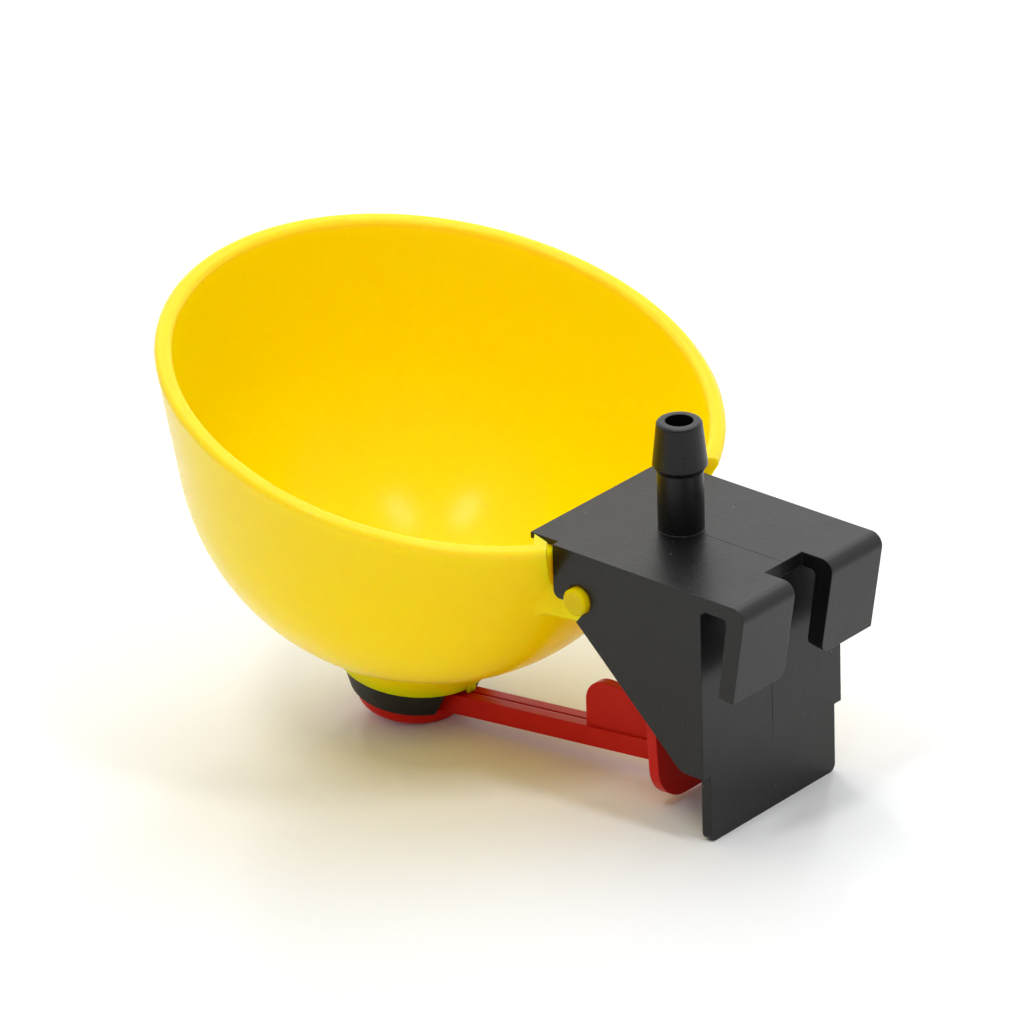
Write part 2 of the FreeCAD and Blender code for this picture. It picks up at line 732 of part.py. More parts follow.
def make_lever():
    """Plug, arm, web and tongue in one moulding."""
    body = new_body("lever")
    plug = new_sketch(body, "plug_outline", x="ball_x", y="ball_z", turn="boss_tilt")
    outline(
        plug,
        [
            ("0", f"-{PLUG_FOOT}"),
            ("plug_radius", f"-{PLUG_FOOT}"),
            ("plug_radius", f"-{SEAL_FOOT}"),
            ("hub_radius", f"-{SEAL_FOOT}"),
            ("hub_radius", f"-{BOSS_FACE} - hub_gap"),
            ("drain_radius - stud_play", f"-{BOSS_FACE} - hub_gap"),
            ("drain_radius - stud_play", f"stud_head_gap - {FLOOR_DEPTH}"),
            ("stud_head", f"stud_head_gap - {FLOOR_DEPTH}"),
            ("drain_radius - stud_play", f"stud_head_gap + stud_head_thick - {FLOOR_DEPTH}"),
            ("0", f"stud_head_gap + stud_head_thick - {FLOOR_DEPTH}"),
        ],
    )
    plug_round = revolve(body, "plug", plug)
    plug_depth = value_of(PLUG_FOOT)
    plug_length = 2 * math.pi * value_of("plug_radius")
    dress(
        body, "Fillet", "plug_edge", plug_round,
        lambda middle, along, length: near(boss_depth(middle), plug_depth) and near(length, plug_length),
        "plug_edge",
    )
    # tongue that the return spring pushes on, leaning with its spigot
    tongue = new_sketch(
        body, "tongue_outline", plane="YZ_Plane", y="-spring_z", z="tongue_x", turn="tongue_lean",
        turn_axis=(1, 0, 0),
    )
    rectangle(tongue, "-tongue_half", "tongue_half", "spring_z - tongue_foot", "spring_z - tongue_top")
    tongue_plate = pad(body, "tongue", tongue, "tongue_thick")
    middle_height = -value_of("spring_z")
    foot_rounds = dress(
        body, "Fillet", "tongue_foot_corners", tongue_plate,
        lambda middle, along, length: abs(along.x) > 0.9 and middle.z < middle_height,
        "tongue_foot_corner",
    )
    dress(
        body, "Fillet", "tongue_top_corners", foot_rounds,
        lambda middle, along, length: abs(along.x) > 0.9 and middle.z > middle_height,
        "tongue_top_corner",
    )
    spigot = new_sketch(
        body, "tongue_spigot_outline", plane="YZ_Plane", y="-spring_z", z="tongue_x", turn="tongue_lean",
        turn_axis=(1, 0, 0),
    )
    circle(spigot, "spigot_radius")
    tongue_spigot = pad(body, "tongue_spigot", spigot, "spigot_length", reverse=True)
    spigot_root = value_of("tongue_x - spigot_length / 2")
    spigot_edge = 2 * math.pi * value_of("spigot_radius")
    dress(
        body, "Chamfer", "tongue_spigot_edge", tongue_spigot,
        lambda middle, along, length: middle.x < spigot_root and near(length, spigot_edge),
        "spigot_edge",
    )
    # arm with a groove along its top, and the web that stiffens it under the tongue
    arm = new_sketch(body, "arm_outline")
    arm_bar(arm, "tongue_x + tongue_thick / 2", PLUG_X, "0", "arm_height")
    pad(body, "arm", arm, "2 * arm_half", midplane=True)
    groove = new_sketch(body, "arm_groove_outline")
    arm_bar(groove, "web_front", f"{PLUG_X} - hub_radius", "arm_height - groove_depth", "2 * arm_height")
    pocket(body, "arm_groove", groove, "groove_width")
    web = new_sketch(body, "web_outline")
    outline(
        web,
        [
            ("tongue_x + tongue_thick / 2", f"arm_height / 2 {arm_foot('tongue_x')}"),
            ("web_front", f"arm_height / 2 {arm_foot('web_front')}"),
            ("web_front", "-web_top"),
            ("tongue_x + tongue_thick / 2", "-web_top"),
        ],
    )
    web_plate = pad(body, "web", web, "web_thick", reverse=True)
    web_front = value_of("web_front")
    web_top = -value_of("web_top")
    dress(
        body, "Fillet", "web_corner", web_plate,
        lambda middle, along, length: abs(along.y) > 0.9 and near(middle.x, web_front) and near(middle.z, web_top),
        "web_corner",
    )
    return body


def make_return_spring():
    """Open coil between the rear plate and the lever's tongue, with the bowl at rest."""
    coil = doc.addObject("Part::Helix", "spring_path")
    bind(
        coil,
        Radius="spring_radius",
        Height="tongue_x - rear_plate - 2 * spring_seat_gap - 2 * spring_wire",
        Pitch="(tongue_x - rear_plate - 2 * spring_seat_gap - 2 * spring_wire) / spring_turns",
    )
    wire = doc.addObject("Part::Circle", "spring_section")
    bind(wire, Radius="spring_wire")
    wire.setExpression("Placement.Base.x", cells("spring_radius"))
    wire.Placement.Rotation = FreeCAD.Rotation(FreeCAD.Vector(1, 0, 0), 90)
    spring = doc.addObject("Part::Sweep", "return_spring")
    spring.Label = "return_spring"
    spring.Sections = [wire]
    spring.Spine = (coil, [])
    spring.Solid = True
    spring.Frenet = True
    spring.Placement.Rotation = FreeCAD.Rotation(FreeCAD.Vector(0, 1, 0), 90)
    spring.setExpression("Placement.Base.x", cells("rear_plate + spring_seat_gap + spring_wire"))
    spring.setExpression("Placement.Base.z", cells("datum_rise - spring_z"))
    return spring


pieces = [
    make_bracket(),
    make_bowl(),
    make_valve_pad(),
    make_drain_seal(),
    make_lever(),
    make_return_spring(),
]
doc.recompute()

for thing in doc.Objects:
    if "Invalid" in thing.State or "Error" in thing.State:
        raise RuntimeError(f"{thing.Label} did not recompute")
for piece in pieces:
    if piece.Shape.isNull() or not piece.Shape.isValid():
        raise RuntimeError(f"{piece.Label} has no valid shape")

os.makedirs("parts", exist_ok=True)
for piece in pieces:
    piece.Shape.exportStep(f"parts/{piece.Label}.step")
    print(f"{piece.Label}: {len(piece.Shape.Solids)} solid, {piece.Shape.Volume:.1f} mm3")
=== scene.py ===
"""Poultry drinking cup on a rail bracket: the finishes, the return spring, and a plain stage."""

import math

import bpy
from bpy.props import FloatProperty, FloatVectorProperty, IntProperty, PointerProperty
from bpy.types import Operator, Panel, PropertyGroup
from mathutils import Matrix, Vector


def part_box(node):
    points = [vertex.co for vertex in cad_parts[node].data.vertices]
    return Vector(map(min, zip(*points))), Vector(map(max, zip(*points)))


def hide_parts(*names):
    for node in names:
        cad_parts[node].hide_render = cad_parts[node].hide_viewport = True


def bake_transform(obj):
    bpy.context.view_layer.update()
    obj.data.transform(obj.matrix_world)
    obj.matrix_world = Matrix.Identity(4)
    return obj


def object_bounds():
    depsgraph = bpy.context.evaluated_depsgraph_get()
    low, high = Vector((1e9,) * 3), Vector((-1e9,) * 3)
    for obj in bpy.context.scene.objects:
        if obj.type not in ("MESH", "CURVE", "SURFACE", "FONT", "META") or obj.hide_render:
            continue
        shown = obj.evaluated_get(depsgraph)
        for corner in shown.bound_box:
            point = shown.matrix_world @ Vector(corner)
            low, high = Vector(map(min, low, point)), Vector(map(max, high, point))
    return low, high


bl_info = {
    "name": "Poultry drinking cup",
    "version": (1, 0, 0),
    "blender": (4, 5, 0),
    "location": "View3D > Sidebar > Cup",
    "description": "Finishes, return spring and stage for a weight operated poultry drinking cup",
    "category": "Object",
}

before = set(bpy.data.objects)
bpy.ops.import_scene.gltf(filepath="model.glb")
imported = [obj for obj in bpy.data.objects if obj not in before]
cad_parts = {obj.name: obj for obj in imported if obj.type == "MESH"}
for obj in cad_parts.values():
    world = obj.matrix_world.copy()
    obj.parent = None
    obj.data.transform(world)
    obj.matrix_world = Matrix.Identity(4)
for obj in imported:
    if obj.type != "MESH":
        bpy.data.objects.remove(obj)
CAD_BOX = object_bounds()
MM = 0.001

# Places on the pieces, in the frame's metres

BRACKET_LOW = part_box("bracket")[0]
SPRING_LOW, SPRING_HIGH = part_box("return_spring")
PLATE_TOP = 24 * MM  # top face of the bracket
BARB_REAR = 15.2 * MM  # rear of the hose barb's foot
PARTING_END = (-11 * MM, -6 * MM)  # heights between which the parting line fades out
RIM_TILT = math.radians(15.2)  # of the bowl's rim, about Y
RIM_TOP = max((vertex.co.copy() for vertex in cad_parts["bowl"].data.vertices), key=lambda co: co.z)
PEG_FOOT = (16.6 * MM, 17 * MM)  # half widths between which the pegs leave the neck
PEG_FRONT = 29.5 * MM  # x in front of both pegs


# Sizes and colours that a user would change


class CupColours(PropertyGroup):
    """Colours of the moulded and metal pieces."""

    bowl: FloatVectorProperty(
        name="Bowl", description="Glossy yellow of the bowl", subtype="COLOR", size=3, min=0, max=1,
        default=(0.985, 0.736, 0.0),
    )
    # Painted light: the rim's band of other yellow stands in for how light shines through the thin rim.
    painted_rim_light: FloatVectorProperty(
        name="Bowl rim", description="Paler yellow of the thin rim, which lets light through",
        subtype="COLOR", size=3, min=0, max=1, default=(0.97, 0.63, 0.03),
    )
    # Painted shade: the hinge pegs' darker yellow stands in for the shade they lie in beside the bracket's
    # side walls, not for wear.
    pegs: FloatVectorProperty(
        name="Pegs", description="Duller yellow of the hinge pegs, worn in their notches",
        subtype="COLOR", size=3, min=0, max=1, default=(0.6895, 0.52256, 0.0),
    )
    bracket: FloatVectorProperty(
        name="Bracket", description="Black plastic of the bracket", subtype="COLOR", size=3, min=0, max=1,
        default=(0.0022, 0.0022, 0.0024),
    )
    parting_line: FloatVectorProperty(
        name="Parting line", description="The bracket's parting line, darker than its faces", subtype="COLOR",
        size=3, min=0, max=1, default=(0.001, 0.001, 0.001),
    )
    dust: FloatVectorProperty(
        name="Dust", description="Pale dust on the black plastic", subtype="COLOR", size=3, min=0, max=1,
        default=(0.42, 0.42, 0.42),
    )
    lever: FloatVectorProperty(
        name="Lever", description="Red plastic of lever and plug", subtype="COLOR", size=3, min=0, max=1,
        default=(0.62, 0.010, 0.004),
    )
    rubber: FloatVectorProperty(
        name="Rubber", description="Black rubber of drain seal and valve pad", subtype="COLOR", size=3,
        min=0, max=1, default=(0.0045, 0.0045, 0.004),
    )
    bloom: FloatVectorProperty(
        name="Bloom", description="Faint bloom on the rubber", subtype="COLOR", size=3, min=0, max=1,
        default=(0.012, 0.012, 0.011),
    )
    spring: FloatVectorProperty(
        name="Spring", description="Stainless wire of the return spring", subtype="COLOR", size=3,
        min=0, max=1, default=(0.62, 0.61, 0.59),
    )
    wire_marks: FloatVectorProperty(
        name="Wire marks", description="Darker marks along the spring's wire", subtype="COLOR", size=3,
        min=0, max=1, default=(0.4, 0.39, 0.38),
    )


class CupFinish(PropertyGroup):
    """Scale of the surface detail."""

    grain: FloatProperty(
        name="Grain", description="Size of the bracket's moulded grain", subtype="DISTANCE",
        default=0.35 * MM, min=0.05 * MM,
    )
    speck_spacing: FloatProperty(
        name="Speck spacing", description="Typical distance between specks of dust", subtype="DISTANCE",
        default=3.4 * MM, min=0.5 * MM,
    )
    speck_radius: FloatProperty(
        name="Speck radius", description="Radius of a speck of dust", subtype="DISTANCE",
        default=0.13 * MM, min=0.01 * MM,
    )
    parting_line: FloatProperty(
        name="Parting line", description="Half width of the mould's parting line", subtype="DISTANCE",
        default=0.12 * MM, min=0.01 * MM,
    )
    edge: FloatProperty(
        name="Edge", description="Radius to which sharp moulded edges are softened", subtype="DISTANCE",
        default=0.25 * MM, min=0,
    )
    # Depth of the band of painted light at the rim.
    rim_light_depth: FloatProperty(
        name="Rim depth", description="How far the paler colour runs down from the rim", subtype="DISTANCE",
        default=1.7 * MM, min=0.1 * MM,
    )


class CupSpring(PropertyGroup):
    """The return spring between the bracket and the lever's tongue."""

    turns: IntProperty(name="Turns", description="Open turns of the spring", default=6, min=2)
    closed_turns: FloatProperty(
        name="Closed turns", description="Turns laid close at each end", default=1.0, min=0
    )
    wire: FloatProperty(
        name="Wire", description="Radius of the wire", subtype="DISTANCE", default=0.35 * MM, min=0.05 * MM
    )
    radius: FloatProperty(
        name="Radius", description="Radius of the coil at the middle of its wire", subtype="DISTANCE",
        default=4.0 * MM, min=0.5 * MM,
    )


class CupStage(PropertyGroup):
    """Floor, lights and camera."""

    camera_azimuth: FloatProperty(
        name="Camera azimuth", description="0 looks along +Y", subtype="ANGLE", default=math.radians(221.51)
    )
    camera_elevation: FloatProperty(
        name="Camera elevation", description="Above the horizon", subtype="ANGLE",
        default=math.radians(26.06),
    )
    camera_roll: FloatProperty(
        name="Camera roll", description="Turn about the line of sight", subtype="ANGLE",
        default=math.radians(-1.77),
    )
    camera_distance: FloatProperty(
        name="Camera distance", description="From the origin to the camera's own plane", subtype="DISTANCE",
        default=1.3283,
    )
    camera_right: FloatProperty(
        name="Camera right", description="How far right of the view's middle the origin lies",
        subtype="DISTANCE", default=0.043238,
    )
    camera_up: FloatProperty(
        name="Camera up", description="How far above the view's middle the origin lies", subtype="DISTANCE",
        default=-0.007651,
    )
    camera_lens: FloatProperty(name="Lens", description="Focal length in millimetres", default=278.7)
    floor_colour: FloatVectorProperty(
        name="Floor", description="Colour of the floor", subtype="COLOR", size=3, min=0, max=1,
        default=(0.93, 0.935, 0.94),
    )
    floor_size: FloatProperty(
        name="Floor size", description="Half width of the floor", subtype="DISTANCE", default=4.0
    )
    floor_lit: FloatProperty(
        name="Lit floor", description="Distance at which the floor turns to plain white", subtype="DISTANCE",
        default=0.28,
    )
    room_low: FloatProperty(name="Room light, low", description="Strength of the tent's sides", default=0.56)
    room_high: FloatProperty(name="Room light, high", description="Strength of the tent's top", default=0.42)
    room_shine: FloatProperty(
        name="Room shine", description="Strength of the tent's far side in reflections", default=1.5
    )
    strip_light: FloatProperty(name="Strip light", description="Power of each overhead strip", default=1.3)
    top_light: FloatProperty(name="Top light", description="Power of the overhead light", default=2.75)
    back_light: FloatProperty(name="Back light", description="Power of each rear light", default=0.8)


PROPERTY_GROUPS = {
    "cup_colours": CupColours,
    "cup_finish": CupFinish,
    "cup_spring": CupSpring,
    "cup_stage": CupStage,
}


# Node trees


class Wire:
    """A value in a node tree: arithmetic on it adds Math nodes to the tree."""

    def __init__(self, nodes, socket):
        self.nodes = nodes
        self.socket = socket

    def other(self, output):
        """Another output of the same node."""
        return Wire(self.nodes, self.socket.node.outputs[output])

    def __add__(self, other):
        return self.nodes.maths("ADD", self, other)

    def __sub__(self, other):
        return self.nodes.maths("SUBTRACT", self, other)

    def __rsub__(self, other):
        return self.nodes.maths("SUBTRACT", other, self)

    def __mul__(self, other):
        return self.nodes.maths("MULTIPLY", self, other)

    def __truediv__(self, other):
        return self.nodes.maths("DIVIDE", self, other)

    def __rtruediv__(self, other):
        return self.nodes.maths("DIVIDE", other, self)

    def __lt__(self, other):
        return self.nodes.maths("LESS_THAN", self, other)

    def __gt__(self, other):
        return self.nodes.maths("GREATER_THAN", self, other)

    def __abs__(self):
        return self.nodes.maths("ABSOLUTE", self)

    __radd__ = __add__
    __rmul__ = __mul__


class Nodes:
    """A node tree under construction."""

    def __init__(self, tree):
        self.tree = tree

    def node(self, kind, settings=None, *values, output=0, **named):
        """Adds a node and gives one of its outputs.

        The settings are set first. Inputs are fed in order, or by name with _ for a space.
        """
        made = self.tree.nodes.new(kind)
        for key, value in (settings or {}).items():
            setattr(made, key, value)
        for index, value in enumerate(values):
            self.feed(made.inputs[index], value)
        for key, value in named.items():
            self.feed(made.inputs[key.replace("_", " ")], value)
        return Wire(self, made.outputs[output])

    def feed(self, socket, value):
        """Links a wire to a socket, or sets the socket to a plain value."""
        if isinstance(value, Wire):
            self.tree.links.new(value.socket, socket)
        elif value is not None:
            opaque = socket.type == "RGBA" and len(value) == 3
            socket.default_value = (*value, 1) if opaque else value

    def maths(self, operation, *values):
        """The outcome of one Math node."""
        return self.node("ShaderNodeMath", {"operation": operation}, *values)

    def ramp(self, value, low, high, to_low=0.0, to_high=1.0):
        """to_low where value is at low, to_high where it is at high, smooth between and level outside."""
        return self.node(
            "ShaderNodeMapRange", {"interpolation_type": "SMOOTHSTEP"}, output="Result",
            Value=value, From_Min=low, From_Max=high, To_Min=to_low, To_Max=to_high,
        )


class Shader(Nodes):
    """A material under construction, on object coordinates."""

    EDGE_SAMPLES = 6

    def __init__(self, name, display):
        self.material = bpy.data.materials.new(name)
        self.material.use_nodes = True
        self.material.diffuse_color = (*display, 1)
        super().__init__(self.material.node_tree)
        self.surface = self.tree.nodes["Principled BSDF"]
        self.place = self.node("ShaderNodeTexCoord", output="Object")

    def axes(self):
        """The three object coordinates, in metres."""
        split = self.node("ShaderNodeSeparateXYZ", None, self.place)
        return [split.other(axis) for axis in "XYZ"]

    def noise(self, size, detail=2.0, roughness=0.5, stretch=(1, 1, 1)):
        """Smooth noise from 0 to 1 whose features measure about size, in metres."""
        place = self.node(
            "ShaderNodeVectorMath", {"operation": "MULTIPLY"}, self.place,
            tuple(1 / factor for factor in stretch),
        )
        return self.node(
            "ShaderNodeTexNoise", output="Fac",
            Vector=place, Scale=1 / size, Detail=detail, Roughness=roughness,
        )

    def specks(self, spacing, radius, share):
        """1 on round specks that lie about spacing apart, in only a share of the cells."""
        distance = self.node("ShaderNodeTexVoronoi", output="Distance", Vector=self.place, Scale=1 / spacing)
        chance = self.node("ShaderNodeSeparateColor", None, distance.other("Color"))
        near = self.ramp(distance, radius / spacing, 0.55 * radius / spacing)
        return near * (chance < share)

    def mix(self, factor, first, second):
        """A colour between two colours."""
        made = self.tree.nodes.new("ShaderNodeMix")
        made.data_type = "RGBA"
        sockets = {socket.identifier: socket for socket in (*made.inputs, *made.outputs)}
        for name, value in (("Factor_Float", factor), ("A_Color", first), ("B_Color", second)):
            self.feed(sockets[name], value)
        return Wire(self, sockets["Result_Color"])

    def bump(self, height, depth, edge=0):
        """Feeds a height from 0 to 1, depth metres tall, into the surface's normal, over softened edges."""
        normal = self.node("ShaderNodeBevel", {"samples": self.EDGE_SAMPLES}, edge) if edge else None
        raised = self.node("ShaderNodeBump", Height=height, Distance=depth, Normal=normal)
        self.feed(self.surface.inputs["Normal"], raised)

    def finish(self, **inputs):
        """Sets or links the surface's inputs, named with _ for a space, and gives the material."""
        for key, value in inputs.items():
            self.feed(self.surface.inputs[key.replace("_", " ")], value)
        return self.material


class Tree(Nodes):
    """A Geometry Nodes tree under construction."""

    def __init__(self, name):
        super().__init__(bpy.data.node_groups.new(name, "GeometryNodeTree"))
        self.tree.interface.new_socket("Geometry", in_out="OUTPUT", socket_type="NodeSocketGeometry")
        self.inputs = self.tree.nodes.new("NodeGroupInput")
        self.output = self.tree.nodes.new("NodeGroupOutput")

    def size(self, name, kind="NodeSocketFloat"):
        """A named input of the tree."""
        self.tree.interface.new_socket(name, in_out="INPUT", socket_type=kind)
        return Wire(self, self.inputs.outputs[name])

    def finish(self, geometry, material):
        """Ends the tree in plain geometry of one material."""
        whole = self.node("GeometryNodeRealizeInstances", Geometry=geometry)
        dressed = self.node("GeometryNodeSetMaterial", Geometry=whole, Material=material)
        self.feed(self.output.inputs[0], dressed)

    def apply(self, name, values):
        """A plain mesh object made by the tree, with its inputs set by name."""
        carrier = bpy.data.objects.new(name + "_carrier", bpy.data.meshes.new(name + "_carrier"))
        bpy.context.scene.collection.objects.link(carrier)
        modifier = carrier.modifiers.new("tree", "NODES")
        modifier.node_group = self.tree
        for item in self.tree.interface.items_tree:
            if item.in_out == "INPUT":
                modifier[item.identifier] = values[item.name]
        evaluated = carrier.evaluated_get(bpy.context.evaluated_depsgraph_get())
        mesh = bpy.data.meshes.new_from_object(evaluated)
        mesh.name = name
        bpy.data.objects.remove(carrier)
        piece = bpy.data.objects.new(name, mesh)
        bpy.context.scene.collection.objects.link(piece)
        return piece


# Finishes


def colour(name, level=1):
    """A colour from the panel, times a level."""
    return tuple(level * part for part in getattr(bpy.context.scene.cup_colours, name))


def yellow_plastic():
    """Glossy yellow with faint flow marks, painted light in a band at the rim and painted shade on the pegs.
    """
    finish = bpy.context.scene.cup_finish
    shader = Shader("yellow_plastic", colour("bowl"))
    x, y, z = shader.axes()
    # height over the origin, square to the rim's plane
    above = z * math.cos(RIM_TILT) - x * math.sin(RIM_TILT)
    rim_level = RIM_TOP.z * math.cos(RIM_TILT) - RIM_TOP.x * math.sin(RIM_TILT)
    # painted light: a band of other yellow at the rim, for light shining through the thin rim
    rim = shader.ramp(above, rim_level - finish.rim_light_depth, rim_level - 0.4 * finish.rim_light_depth)
    # painted shade: the hinge pegs are mixed below to a darker yellow for the shade of the bracket's side
    # walls
    pegs = shader.ramp(abs(y), *PEG_FOOT) * (x < PEG_FRONT)
    flow = shader.noise(9 * MM, detail=3, stretch=(1, 1, 2.5))
    base = shader.mix(flow * 0.1, colour("bowl"), colour("bowl", 0.93))
    base = shader.mix(pegs, base, colour("pegs"))
    shader.bump(shader.noise(14 * MM, detail=1), 0.03 * MM)
    return shader.finish(
        Base_Color=shader.mix(rim * 0.7, base, colour("painted_rim_light")),
        Roughness=0.2 + 0.06 * shader.noise(9 * MM, detail=3),
        Specular_IOR_Level=0.13,
        Subsurface_Weight=1.0,
        Subsurface_Radius=(1.0, 0.55, 0.02),
        Subsurface_Scale=5.0 * MM,
    )


def black_plastic():
    """Satin black with a fine moulded grain, a parting line on the mirror plane and a little dust."""
    finish = bpy.context.scene.cup_finish
    shader = Shader("black_plastic", colour("bracket"))
    x, y, z = shader.axes()
    grain = shader.noise(finish.grain, detail=3, roughness=0.6)
    mottle = shader.noise(1.2 * MM, detail=4, roughness=0.7)
    broad = shader.noise(7 * MM, detail=3)
    # the parting line wavers a little, and shows only behind the barb and above the lower tab
    wavering = abs(y + (shader.noise(12 * MM) - 0.5) * 0.1 * MM)
    line = shader.ramp(wavering, finish.parting_line, 0.5 * finish.parting_line)
    line = line * (x < BARB_REAR) * (z < PLATE_TOP + 0.3 * MM) * shader.ramp(z, *PARTING_END)
    dust = shader.specks(finish.speck_spacing, finish.speck_radius, 0.55)
    fine_dust = shader.specks(0.4 * finish.speck_spacing, 0.5 * finish.speck_radius, 0.35)
    base = shader.mix(broad * 0.5, colour("bracket"), colour("bracket", 1.8))
    base = shader.mix(line * 0.8, base, colour("parting_line"))
    shader.bump(grain * 0.6 + mottle - line, 0.03 * MM, edge=finish.edge)
    return shader.finish(
        Base_Color=shader.mix(dust * 0.8 + fine_dust * 0.5, base, colour("dust")),
        Roughness=0.18 + 0.12 * broad + 0.16 * mottle + 0.08 * grain,
        Metallic=line * 0.95,  # keeps the line dark, with next to no sheen
        Specular_IOR_Level=0.36,
    )


def red_plastic():
    """Red plastic, a little less glossy than the bowl."""
    finish = bpy.context.scene.cup_finish
    shader = Shader("red_plastic", colour("lever"))
    cloud = shader.noise(4 * MM, detail=3)
    shader.bump(shader.noise(0.8 * MM, detail=2), 0.008 * MM, edge=1.2 * finish.edge)
    return shader.finish(
        Base_Color=shader.mix(cloud * 0.35, colour("lever"), colour("lever", 0.72)),
        Roughness=0.28 + 0.12 * cloud,
        Specular_IOR_Level=0.15,
    )


def black_rubber():
    """Matt rubber with a faint bloom."""
    finish = bpy.context.scene.cup_finish
    shader = Shader("black_rubber", colour("rubber"))
    cloud = shader.noise(2.5 * MM, detail=4)
    shader.bump(shader.noise(0.25 * MM, detail=3), 0.02 * MM, edge=finish.edge)
    return shader.finish(
        Base_Color=shader.mix(cloud * 0.4, colour("rubber"), colour("bloom")),
        Roughness=0.5 + 0.15 * cloud,
        Specular_IOR_Level=0.35,
    )


def spring_steel():
    """Stainless wire with fine marks along X from drawing."""
    shader = Shader("spring_steel", colour("spring"))
    drawn = shader.noise(0.2 * MM, detail=2, stretch=(1, 6, 6))
    shader.bump(drawn, 0.004 * MM)
    return shader.finish(
        Base_Color=shader.mix(drawn * 0.3, colour("spring"), colour("wire_marks")),
        Metallic=1.0,
        Roughness=0.24 + 0.12 * drawn,
    )


def dress(node, material):
    """Gives a CAD node its finish."""
    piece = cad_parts[node]
    if not piece.material_slots:
        piece.data.materials.append(material)
    for slot in piece.material_slots:
        slot.material = material


# Pieces


class CUP_OT_bowl(Operator):
    """Finish the bowl in glossy yellow plastic"""

    bl_idname = "cup.bowl"
    bl_label = "Bowl"

    def execute(self, context):
        dress("bowl", yellow_plastic())
        return {"FINISHED"}


class CUP_OT_bracket(Operator):
    """Finish the bracket in satin black plastic"""

    bl_idname = "cup.bracket"
    bl_label = "Bracket"

    def execute(self, context):
        dress("bracket", black_plastic())
        return {"FINISHED"}


class CUP_OT_lever(Operator):
    """Finish lever and plug in red plastic"""

    bl_idname = "cup.lever"
    bl_label = "Lever"

    def execute(self, context):
        dress("lever", red_plastic())
        return {"FINISHED"}


class CUP_OT_rubber(Operator):
    """Finish drain seal and valve pad in black rubber"""

    bl_idname = "cup.rubber"
    bl_label = "Rubber pieces"

    def execute(self, context):
        rubber = black_rubber()
        for node in ("drain_seal", "valve_pad"):
            dress(node, rubber)
        return {"FINISHED"}


COIL_POINTS = 720
WIRE_SIDES = 14
CLOSED_PITCH = 2.1  # of the closed turns, in radii of the wire


def spring_tree():
    """A compression spring along X: open turns between closed ends.

    The coil's angle grows evenly along a line of points, and its height follows a rule that keeps
    the first and the last turns at little more than the wire's thickness.
    """
    tree = Tree("coil_spring")
    start, length, middle = tree.size("Start"), tree.size("Length"), tree.size("Height")
    radius, wire = tree.size("Radius"), tree.size("Wire")
    turns, closed = tree.size("Turns"), tree.size("Closed turns")
    finish = tree.size("Material", "NodeSocketMaterial")
    share = tree.node("GeometryNodeInputIndex") / (COIL_POINTS - 1)
    turn = share * (turns + closed * 2)
    # turns passed so far in the first closed end, in the last one and between them
    first = tree.maths("MINIMUM", turn, closed)
    last = tree.maths("MAXIMUM", turn - (turns + closed), 0)
    between = turn - first - last
    closed_pitch = wire * CLOSED_PITCH
    open_pitch = (length - closed * 2 * closed_pitch - wire * 2) / turns
    along = (first + last) * closed_pitch + between * open_pitch + wire + start
    angle = turn * (2 * math.pi)
    across = radius * tree.maths("SINE", angle)
    height = radius * tree.maths("COSINE", angle) + middle
    place = tree.node("ShaderNodeCombineXYZ", X=along, Y=across, Z=height)
    line = tree.node("GeometryNodeMeshLine", Count=COIL_POINTS)
    coil = tree.node("GeometryNodeSetPosition", Geometry=line, Position=place)
    path = tree.node("GeometryNodeMeshToCurve", Mesh=coil)
    profile = tree.node("GeometryNodeCurvePrimitiveCircle", Resolution=WIRE_SIDES, Radius=wire)
    solid = tree.node("GeometryNodeCurveToMesh", Curve=path, Profile_Curve=profile, Fill_Caps=True)
    tree.finish(tree.node("GeometryNodeSetShadeSmooth", Geometry=solid), finish)
    return tree


class CUP_OT_spring(Operator):
    """Coil the return spring between the rear plate and the lever's tongue"""

    bl_idname = "cup.spring"
    bl_label = "Return spring"

    def execute(self, context):
        sizes = context.scene.cup_spring
        low, high = SPRING_LOW, SPRING_HIGH
        spring = spring_tree().apply(
            "coil_spring",
            {
                "Start": low[0],
                "Length": high[0] - low[0],
                "Height": (low[2] + high[2]) / 2,
                "Radius": sizes.radius,
                "Wire": sizes.wire,
                "Turns": float(sizes.turns),
                "Closed turns": sizes.closed_turns,
                "Material": spring_steel(),
            },
        )
        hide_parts("return_spring")
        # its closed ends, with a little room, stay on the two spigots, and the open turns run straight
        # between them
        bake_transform(spring)
        return {"FINISHED"}


# Stage

# Places of the lights from the cup's middle, and their sizes. The overhead light's place runs along the
# frame's axes. The strips and the rear lights stand in pairs, and their places run to the camera's right,
# away from it, and up.
OVERHEAD_PLACE, OVERHEAD_SIZE = (0.12, -0.18, 0.75), (0.7, 0.7)
STRIP_PLACE, STRIP_SIZE = (0.21, -0.28, 0.75), (0.09, 0.22)
REAR_PLACE, REAR_SIZE = (0.16, 0.62, 0.42), (0.07, 0.26)
# How far a ray turns up where the tent's sides end, and where its top begins.
TOP_TURN = (0.1, 0.8)
# How far a reflected ray turns away from the camera where the tent's near side ends, and where its far side
# begins, and the near side's share of the far side's strength.
SHINE_TURN = (-0.9, 0.5)
SHINE_NEAR = 0.25


def standing_slope():
    """Fall of the floor for each metre of X, with the cup standing on its rear tab and its plug."""
    points = [vertex.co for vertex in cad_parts["lever"].data.vertices]
    return max((BRACKET_LOW[2] - point.z) / point.x for point in points)


def soft_light(name, place, aim, size, power):
    """A rectangular lamp that faces its aim."""
    lamp = bpy.data.lights.new(name, "AREA")
    lamp.shape = "RECTANGLE"
    lamp.size, lamp.size_y = size
    lamp.energy = power
    light = bpy.data.objects.new(name, lamp)
    light.location = place
    light.rotation_euler = (Vector(aim) - Vector(place)).to_track_quat("-Z", "Y").to_euler()
    bpy.context.scene.collection.objects.link(light)
    return light


